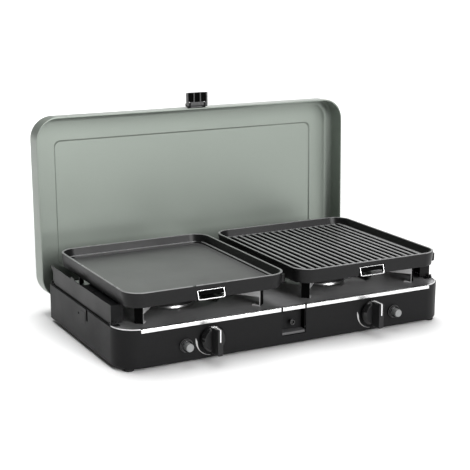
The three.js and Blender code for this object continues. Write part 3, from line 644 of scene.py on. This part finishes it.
def build_latch_recess():
    """Pocket in the case's front, black on its right inner wall as painted shade, with a ledge
    coloured lighter as a painted highlight, and the stud that the latch catches.
    """
    pocket = refine("latch_pocket", 0.5, (BLACK_PAINT, PAINTED_SHADE_BLACK), "base")
    # Painted shade: the right inner wall of the pocket in matte black.
    for face in pocket.data.polygons:
        if face.normal.x < -0.6 and face.center.x > ORIGIN.x:
            face.material_index = 1
    ramp = soften([(-154.2, 16.0, 0), (-154, 19.6, 1.8), (-149, 21, 2.5), (-142.4, 21.3, 0),
                   (-142.4, 16, 0)], 5)
    # Painted highlight: the ledge takes the lighter coat.
    piece("latch_recess_ledge", placed(prism(ramp, -20.6, 20.6), sideways), PAINTED_HIGHLIGHT_COAT, "base")
    low, high = mm_box("latch_catch")
    length = high[1] - low[1]
    profile = [(0, 0, 0), (3, 0, 0), (3, length - 4, 0.4), (5, length - 3, 0.3), (5, length, 0.9),
               (2.4, length, 0.5), (2.2, length - 2.6, 0), (0, length - 2.9, 0)]
    x, _, z = middle("latch_catch")
    piece("latch_stud", turned_y(profile, x, high[1], z, 32), KNOB_GLOSS, "base",
          ("latch_catch",))


def build_feet():
    """Turned rubber feet, one near each corner."""
    for end in ("front", "rear"):
        for side in SIDES:
            node = f"foot_{end}_{side}"
            x, y, _ = middle(node)
            profile = [(0, -5, 0), (8, -5, 1.4), (8, -0.6, 0.3), (7, 0, 0), (0, 0, 0)]
            piece(f"{node}_pad", turned_z(profile, x, y, 32), RUBBER, "base", (node,))


# ---------------------------------------------------------------- knobs and buttons
def build_knob(side):
    """Turned skirt with a flat grip, which has a groove for the white pointer."""
    x = UNIT[side]
    body = f"knob_{side}"
    skirt = [(0, 0, 0), (21.0, 0, 0.5), (21.3, 2.6, 1.2), (19.9, 5.6, 2), (17.2, 9.6, 1.0),
             (15.2, 9.3, 0.5), (0, 8.9, 0)]
    rings = []
    face_half, face_out, face_tall = 4.4, 27.7, 20.75
    for half, out in soften([(5.8, 5, 0), (5.6, 12, 3), (face_half, face_out, 0.9),
                             (0.6, face_out, 0)], 4):
        tall = face_tall - max(face_half - half, 0)
        corner = min(2.0, half * 0.7)
        rings.append([(x + a, KNOB_BACK - out, KNOB_Z + b)
                      for a, b in outline(-half, half, -tall, tall, (corner,) * 4, 6)])
    obj = raw(f"knob_body_{side}", loft(rings))
    boolean(obj, turned_y(skirt, x, KNOB_BACK, KNOB_Z, 64), "UNION")
    left, right, beyond, over = x - 1.2, x + 1.2, KNOB_BACK - 29, KNOB_Z + 23
    boolean(obj, block(left, right, beyond, KNOB_BACK - 4, KNOB_Z + 20.1, over))
    boolean(obj, block(left, right, beyond, KNOB_BACK - 27.1, KNOB_Z + 1, over))
    fit(obj, (KNOB_PLASTIC, KNOB_GLOSS), body, (body,), 32)
    paint_where(obj, 1, lambda px, py, pz: (math.hypot(px - x, pz - KNOB_Z) > 17
                                            and py > KNOB_BACK - 9.7))


def build_button(side):
    """Igniter: a glossy collar whose bevels are coloured lighter as painted highlights, and the grey
    cap that is pushed into it.
    """
    x, _, z = middle(f"igniter_bezel_{side}")
    back = mm_box(f"igniter_bezel_{side}")[1][1]
    ring = [(8, 0, 0), (11, 0, 0.2), (11, 2.4, 0.6), (10.3, 3.2, 0.2), (10.0, 5.0, 0.5),
            (9.3, 5.7, 0.2), (9.1, 7.6, 0.6), (8, 8.1, 0.4)]
    collar = piece(f"igniter_collar_{side}", turned_y(ring, x, back, z, 48, loop=True),
                   (KNOB_GLOSS, PAINTED_HIGHLIGHT_COAT), "base", (f"igniter_bezel_{side}",))
    # Painted highlights: the front-facing bevels take the lighter coat.
    for polygon in collar.data.polygons:
        if 0.55 < -polygon.normal.y < 0.9:
            polygon.material_index = 1
    low, high = mm_box(f"igniter_button_{side}")
    face = high[1] - low[1]
    stem, radius, clear_of_case = 4.9, 6.4, 5.7
    start = high[1] + HALF_D + clear_of_case
    cap = [(0, 0, 0), (stem, 0, 0.4), (stem, start, 0.2), (radius, start, 0.3),
           (radius, face - 0.5, 1.2), (5.1, face, 0.9), (4.5, face - 0.35, 0.3), (0, face - 0.5, 0)]
    piece(f"igniter_cap_{side}", turned_y(cap, x, high[1], z, 48), BUTTON_PLASTIC, f"button_{side}",
          (f"igniter_button_{side}",))


def build_print(side):
    """Tapered arc printed beside the knob, as thin as paint; it is widest near its start."""
    radius, start, sweep, steps = 27.2, 174, 92, 40
    thin, swelling, widest_at, thickness = 0.6, 2.3, 0.18, 0.12
    outer, inner = [], []
    for i in range(steps + 1):
        f = i / steps
        angle = math.radians(start + sweep * f)
        if f < widest_at:
            swell = math.sin(math.pi * f / (2 * widest_at))
        else:
            swell = 1 - (f - widest_at) / 0.34
        width = thin + swelling * max(0, swell)
        outer.append((radius * math.cos(angle), radius * math.sin(angle)))
        inner.append(((radius - width) * math.cos(angle), (radius - width) * math.sin(angle)))
    shape = outer + inner[::-1]
    count = len(shape)
    points = [(a, b, h) for h in (0.0, thickness) for a, b in shape]
    faces = []
    for i in range(steps):
        j = count - 1 - i
        faces += [(i, i + 1, j - 1, j), (i + count, i + 1 + count, j - 1 + count, j + count)]
    for i in range(count):
        k = (i + 1) % count
        faces.append((i, k, k + count, i + count))
    piece(f"flame_scale_{side}", placed((points, faces), facing(UNIT[side], FRONT, KNOB_Z)),
          GREY_PRINT, "base")


# ---------------------------------------------------------------- burners and pot supports
def build_burner(side):
    """Slotted ring, bright at its foot, with a domed lid, and the electrode beside it."""
    x = UNIT[side]
    head_low, head_high = mm_box(f"burner_head_{side}")
    bottom, top = head_low[2], head_high[2]
    ring = [(29, bottom, 0.3), (31, bottom, 0.5), (31, 48.5, 0.6), (40, 48.5, 0.9), (40, 49.6, 0.6),
            (39.3, 52.2, 0), (38.8, 54.1, 0.4), (38.8, top, 0.7), (35.5, top, 0.4), (35.5, 56, 0.4),
            (29, 56, 0.3)]
    head = raw(f"burner_ring_{side}", turned_z(ring, x, 0, 96, loop=True, steps=3))
    slots = []
    slot_count = 36
    for i in range(slot_count):
        turn = Matrix.Rotation(2 * math.pi * (i + 0.5) / slot_count, 3, "Z")
        half = 1.5 if i % 9 == 4 else 0.8
        points, faces = block(33, 42, -half, half, 57, top + 2)
        slots.append(([tuple(turn @ Vector(p)) for p in points], faces))
    boolean(head, placed(together(*slots), upright(x, 0)))
    fit(head, (BURNER_DARK, BURNER_BRIGHT), "base", (f"burner_head_{side}",), 35)
    paint_where(head, 1, lambda px, py, pz: pz < 52)
    low, high = mm_box(f"burner_cap_{side}")
    foot, peak = low[2], high[2]
    cap = [(0, foot, 0), (30, foot, 0.5), (30, foot + 5.3, 0), (38.8, foot + 5.3, 0.4),
           (40, foot + 6.6, 0.7), (38.4, peak - 1.6, 1.5), (14, peak, 12), (0, peak, 0)]
    piece(f"burner_lid_{side}", turned_z(cap, x, 0, 96), BURNER_DARK, "base",
          (f"burner_cap_{side}",))
    refine(f"electrode_{side}", 0.25, CERAMIC, "base")


def build_support(side):
    """Pot support, whose arm ends are black, made matte and deeper black as painted shade."""
    obj = refine(f"pot_support_{side}", 0.35, (SUPPORT_STEEL, PAINTED_SHADE_BLACK), f"support_{side}")
    x = UNIT[side]
    tip_x, tip_y = 107, 122
    length = math.hypot(tip_x, tip_y)
    # Painted shade: deep black on the arms' ends.
    paint_where(obj, 1, lambda px, py, pz: (abs(px - x) * tip_x / length + abs(py) * tip_y / length
                                            > length - 5.5))


def build_shield(side):
    """Windshield, matte black as painted shade on the faces towards the burners."""
    shield = refine(f"windshield_{side}", 0.25, (SHIELD_PAINT, PAINTED_SHADE_BLACK), "base")
    # Painted shade: faces towards the burners take the matte black.
    for face in shield.data.polygons:
        if face.normal.x * SIGN[side] < -0.7:
            face.material_index = 1


# ---------------------------------------------------------------- cooking plates
def plate_ring(x, inset, z):
    """A plate's outline seen from above, moved inwards and set at a height."""
    half_x, half_y = PLATE_HALF
    radius = max(30 - inset, 12)
    return [(px, py, z) for px, py in outline(x - half_x + inset, x + half_x - inset,
                                              PLATE_Y - half_y + inset, PLATE_Y + half_y - inset,
                                              (radius,) * 4, 14)]


def plate_ear(x):
    """Rounded tab at the right of a plate, near its front."""
    rings = []
    ear_x, ear_y = x + PLATE_HALF[0], -128
    for inset, z in soften([(5.5, 97, 0), (0, 97, 1.2), (0, 110, 1.2), (5.5, 110, 0)], 4):
        half = 7 - inset
        arc = [(ear_x + half * math.cos(math.radians(a)),
                ear_y + half * math.sin(math.radians(a)), z) for a in range(-90, 91, 10)]
        rings.append([(x + 131.5, ear_y - half, z)] + arc + [(x + 131.5, ear_y + half, z)])
    return loft(rings)


def plate_ribs(x):
    """Nineteen rounded bars from front to back, which run down to the floor at their ends."""
    section = soften([(-3.3, 103, 0), (-2.9, 104.6, 0.8), (-1.9, 110, 1.6), (1.9, 110, 1.6),
                      (2.9, 104.6, 0.8), (3.3, 103, 0)], 4)
    count, pitch, foot = 19, 13.2, 103
    reach = PLATE_HALF[1] - 12.4
    run_down = ((-reach, 5.6), (-reach + 1.2, 2.6), (-reach + 4, 0.7), (-reach + 8, 0),
                (reach - 8, 0), (reach - 4, 0.7), (reach - 1.2, 2.6), (reach, 5.6))
    ribs = []
    for i in range(count):
        cx = x + (i - count // 2) * pitch
        ribs.append(loft([[(cx + a, PLATE_Y + along, max(foot, b - lower if b > 104 else b))
                           for a, b in section] for along, lower in run_down]))
    return together(*ribs)


def build_plate(node, side, body):
    """Cast plate with its ear, the grill's ribs, and the pocket and bore for its bail."""
    x = UNIT[side]
    path = soften([(60, 99, 0), (7.4, 99, 2.0), (7.0, PLATE_FOOT, 0.7), (2.6, PLATE_FOOT, 0.9),
                   (0, PLATE_TOP, 1.3), (3.6, PLATE_TOP, 1.2), (8.6, 106.6, 1.5), (11.2, 106.3, 0.8),
                   (12.2, 103.5, 0.9), (14.6, 103.4, 0.9), (16.4, PLATE_FLOOR, 0.7),
                   (60, PLATE_FLOOR, 0)], 4)
    plate = raw(f"{node}_cast", loft([plate_ring(x, inset, z) for inset, z in path]))
    boolean(plate, plate_ear(x), "UNION")
    if node == "grill_plate":
        boolean(plate, plate_ribs(x), "UNION")
    left, right = x - BAIL_POCKET_HALF, x + BAIL_POCKET_HALF
    pocket = outline(left, right, 90, BAIL_Z + 2.5, (1, 1, 4, 4), 6)
    boolean(plate, placed(prism(pocket, 0, 8), lambda a, b, h: (a, BAIL_Y + 1.8 - h, b)))
    boolean(plate, block(left, right, BAIL_Y - 8, BAIL_Y + 7.8, 90, 101.5))
    ends = x - 27.5, x + 27.5
    bore = revolve([(0, ends[0]), (1.5, ends[0]), (1.5, ends[1]), (0, ends[1])], 16)
    boolean(plate, placed(bore, lambda a, b, h: (h, BAIL_Y + a, BAIL_Z + b)))
    if node == "griddle_plate":
        boolean(plate, block(x - 31.4, x - 26.4, PLATE_FRONT - 1, PLATE_FRONT + 6,
                             PLATE_TOP - 1.2, PLATE_TOP + 2))
    fit(plate, (NONSTICK, NONSTICK_FLOOR_REFLECTION, NONSTICK_EDGE_HIGHLIGHT, NONSTICK_RIB_HIGHLIGHT, PAINTED_SHADE_BLACK), body,
        (node,), 32)
    # Painted reflection, painted highlights and painted shade on the plate's faces.
    paint_plate(plate, x, node == "grill_plate")


def build_bail(side):
    """Wire frame that hangs at a slant in the plate's pocket, with the bar that it turns on."""
    x = UNIT[side]
    slant = math.tan(math.radians(18))
    drop, shoulder, leg, bar_half = 13.4, 26, 22.5, 22
    corners = [(-shoulder, 0, 0), (-leg, 0, 1.6), (-leg, drop, 2.6), (leg, drop, 2.6), (leg, 0, 1.6),
               (shoulder, 0, 0)]
    path = [(x + a, BAIL_Y - d * slant, BAIL_Z - d) for a, d in soften(corners, 6)]
    bar = [(x + a, BAIL_Y, BAIL_Z) for a in (-bar_half, 0, bar_half)]
    piece(f"bail_wire_{side}", together(tube(path, 1.0), tube(bar, 0.8)), BRIGHT_STEEL,
          f"bail_{side}", (f"bail_{side}",))


# ---------------------------------------------------------------- lid
LEAN = math.radians(1.5)
LID_DEPTH = 44.4
LID_EDGE = 14
LID_LOW = mm_box("lid_shell")[0]
LID_HALF = -LID_LOW[0]
LID_HEIGHT = 314
RIM_Y = LID_LOW[1]
LID_FOOT = LID_LOW[2] + (LID_DEPTH - LID_EDGE) * math.sin(LEAN)


def lid_point(x, y, z):
    """A point of the lid's own frame: y from its rim to its back, z up from its lower edge."""
    return (x, RIM_Y + y * math.cos(LEAN) + z * math.sin(LEAN),
            LID_FOOT - y * math.sin(LEAN) + z * math.cos(LEAN))


def build_lid():
    """Pressed pan with a folded rim, whose middle is pressed out to the back."""
    path = soften([(75, 46.4, 0), (47.6, 46.4, 1.4), (45.3, LID_DEPTH, 1.4),
                   (0, LID_DEPTH, LID_EDGE), (0, 0, 1.15), (2.6, 0, 1.15), (2.6, 7, 0.6),
                   (1.3, 8.2, 0.6), (1.3, 43.2, 12.8), (45.3, 43.2, 0.9), (47.6, 45.2, 0.9),
                   (75, 45.2, 0)], 8)
    rings = []
    for inset, y in path:
        radius = max(39 - inset, 11)
        ring = outline(-LID_HALF + inset, LID_HALF - inset, inset, LID_HEIGHT - inset,
                       (radius,) * 4, 16)
        rings.append([lid_point(px, y, pz) for px, pz in ring])
    piece("lid_pan", loft(rings), LID_PAINT, "lid", ("lid_shell",))


def build_latch():
    """Glossy frame and ridges, with front and left faces coloured lighter as painted highlights,
    round sunk panels in matte black as painted shade.
    """
    latch = refine("lid_latch", 0.4, (KNOB_PLASTIC, PAINTED_HIGHLIGHT_COAT, PAINTED_SHADE_BLACK), "latch")
    depths = {}
    for face in latch.data.polygons:
        if face.normal.y < -0.7:
            depths[face.index] = face.center.y - face.center.z * math.tan(LEAN)
        elif face.normal.x < -0.5:
            face.material_index = 1
    front = min(depths.values())
    raised = 0.0007
    # Front-most faces take the painted highlight, the sunk ones the painted shade.
    for index, depth in depths.items():
        latch.data.polygons[index].material_index = 1 if depth < front + raised else 2


# ---------------------------------------------------------------- put it together
build_case()
build_tray()
build_edge_bead()
build_front_lip()
build_latch_recess()
build_feet()
for side_name in SIDES:
    build_knob(side_name)
    build_button(side_name)
    build_print(side_name)
    build_burner(side_name)
    build_support(side_name)
    build_shield(side_name)
    for near, finish in (("shield_bracket_front", SHIELD_PAINT),
                         ("shield_bracket_rear", SHIELD_PAINT),
                         ("hinge_bracket", STEEL), ("hinge_pin", STEEL)):
        refine(f"{near}_{side_name}", 0.25, finish, "base")
    refine(f"hinge_arm_{side_name}", 0.3, STEEL, "lid")
build_plate("griddle_plate", "left", "griddle")
build_bail("left")
build_plate("grill_plate", "right", "grill")
build_bail("right")
build_lid()
refine("latch_bracket", 0.3, SHIELD_PAINT, "lid")
refine("latch_pin", 0.3, KNOB_GLOSS, "lid")
build_latch()
refine("gas_inlet", 0.25, BRASS, "base")

# CAD nodes that show as they are, with a material each.
KEPT = {"gas_pipe": STEEL}
for side_name in SIDES:
    KEPT.update({f"valve_body_{side_name}": BRASS, f"valve_plug_{side_name}": BRASS,
                 f"valve_stem_{side_name}": STEEL, f"injector_{side_name}": BRASS,
                 f"burner_tube_{side_name}": STEEL, f"igniter_body_{side_name}": KNOB_PLASTIC,
                 f"knob_pointer_{side_name}": WHITE_PRINT})
for kept_name, kept_material in KEPT.items():
    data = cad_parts[kept_name].data
    data.materials.clear()
    data.materials.append(kept_material)

# ---------------------------------------------------------------- floor, light and camera
scene = bpy.context.scene
LOW_CORNER = Vector(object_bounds()[0])

FLOOR_HALF = 30
FLOOR_GAP = 0.0002
floor_mesh = bpy.data.meshes.new("floor")
floor_mesh.from_pydata([(FLOOR_HALF * a, FLOOR_HALF * b, 0)
                        for a, b in ((-1, -1), (1, -1), (1, 1), (-1, 1))], [], [(0, 1, 2, 3)])
floor_mesh.materials.append(surface("pale_floor", (0.93, 0.93, 0.93), 0.7, specular=0.1, fleck=0.01,
                                    fleck_scale=300, bump=0.0))
floor = linked("floor", floor_mesh)
floor.location.z = LOW_CORNER.z - FLOOR_GAP

world = bpy.data.worlds.new("studio")
world.use_nodes = True
world.node_tree.nodes["Background"].inputs["Color"].default_value = (1, 1, 1, 1)
world.node_tree.nodes["Background"].inputs["Strength"].default_value = 0.12
scene.world = world


def direction(azimuth, elevation):
    """Unit vector away from the stove; azimuth 0 is straight to the front."""
    return Vector((math.sin(azimuth) * math.cos(elevation), -math.cos(azimuth) * math.cos(elevation),
                   math.sin(elevation)))


def soft_sun(name, azimuth, elevation, angle, strength):
    """Sun of a wide angle, in degrees, which shines from a direction."""
    light = bpy.data.lights.new(name, "SUN")
    light.angle = math.radians(angle)
    light.energy = strength
    towards = -direction(math.radians(azimuth), math.radians(elevation))
    linked(name, light).rotation_euler = towards.to_track_quat("-Z", "Y").to_euler()


soft_sun("front_light", azimuth=10, elevation=23, angle=34, strength=3.1)
soft_sun("top_light", azimuth=172, elevation=71, angle=50, strength=3.1)

CARD_PLACE, CARD_TARGET = (1.5, 2.15, 0.72), Vector((0.1, 0, 0.1))
card = bpy.data.lights.new("rear_card", "AREA")
card.shape = "RECTANGLE"
card.size, card.size_y = 2.2, 1.2
card.energy = 11
rear_card = linked("rear_card", card)
rear_card.location = CARD_PLACE
rear_card.rotation_euler = (CARD_TARGET - rear_card.location).to_track_quat("-Z", "Y").to_euler()
rear_card.visible_camera = False

AZIMUTH, ELEVATION, ROLL = math.radians(-28.03), math.radians(13.60), math.radians(0.17)
DISTANCE = 2.025
AIM = ORIGIN + Vector((-0.0247, 0, 0.1480))
back = direction(AZIMUTH, ELEVATION)
right = Vector((math.cos(AZIMUTH), math.sin(AZIMUTH), 0))
up = back.cross(right)
across = right * math.cos(ROLL) + up * math.sin(ROLL)
upward = up * math.cos(ROLL) - right * math.sin(ROLL)
lens_data = bpy.data.cameras.new("camera")
lens_data.sensor_width = 36
lens_data.lens = 92.54
camera = linked("camera", lens_data)
turn = Matrix((across, upward, back)).transposed().to_4x4()
camera.matrix_world = Matrix.Translation(AIM + back * DISTANCE) @ turn
scene.camera = camera
scene.view_settings.view_transform = "Standard"
